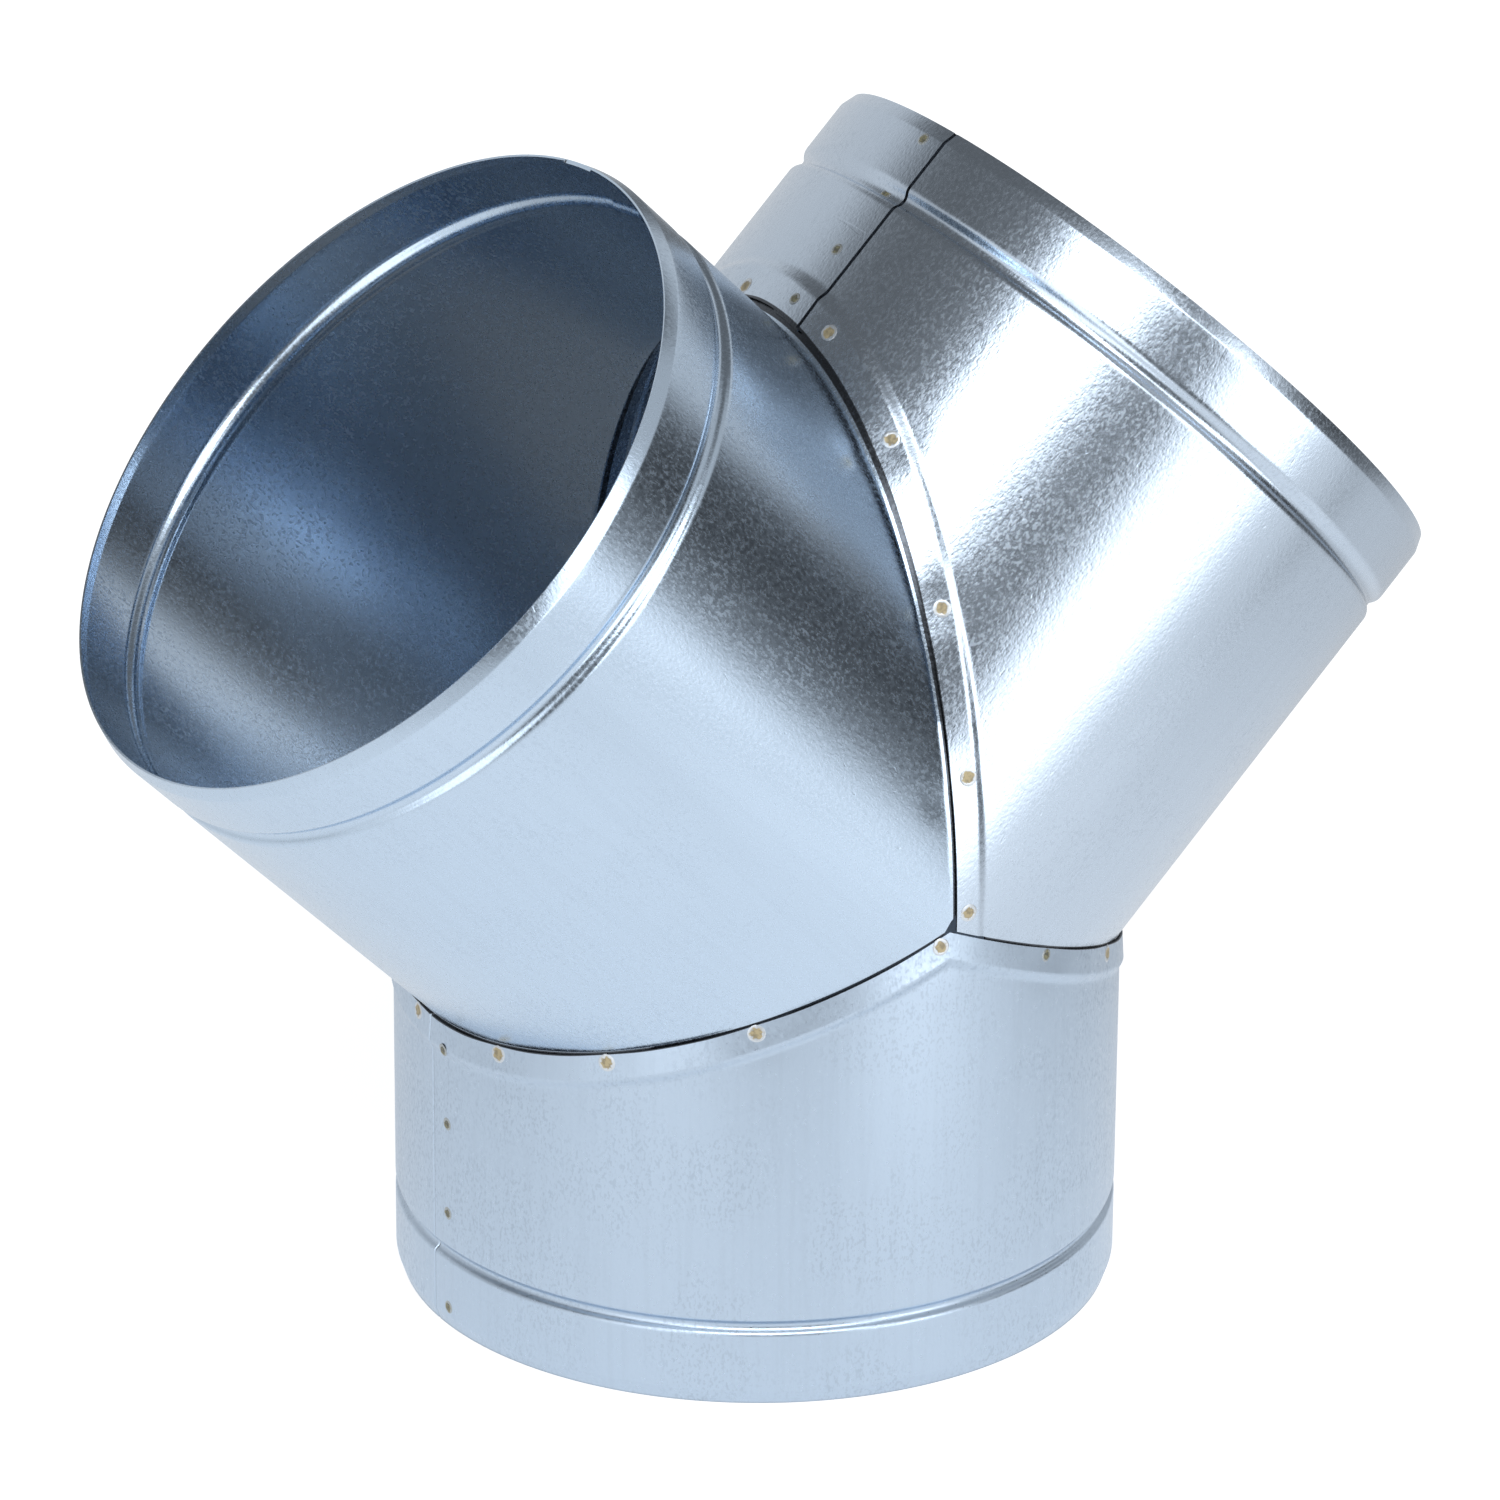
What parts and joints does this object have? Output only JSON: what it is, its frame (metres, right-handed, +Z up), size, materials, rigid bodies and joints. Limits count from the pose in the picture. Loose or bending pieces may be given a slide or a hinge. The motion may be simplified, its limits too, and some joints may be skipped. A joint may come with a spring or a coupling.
{
  "type": "duct y branch",
  "caption": "Y-shaped round duct fitting of galvanised sheet that splits an airway from an upright collar into leaning branches, with a lead-in and a groove at each open end.",
  "frame": {"origin": "middle of the lower pipe's open end, where it stands", "axes": "+Z up along the lower pipe's axis, the branches lean to -X and +X, the front looks along -Y"},
  "size_m": [0.4728, 0.2518, 0.4034],
  "materials": {
    "galvanised_sheet": "bright hot-dip galvanised, fine spangle"
  },
  "bodies": {
    "root": {"base_pipe": "galvanised_sheet", "left_branch": "galvanised_sheet", "right_branch": "galvanised_sheet"}
  },
  "joints": []
}
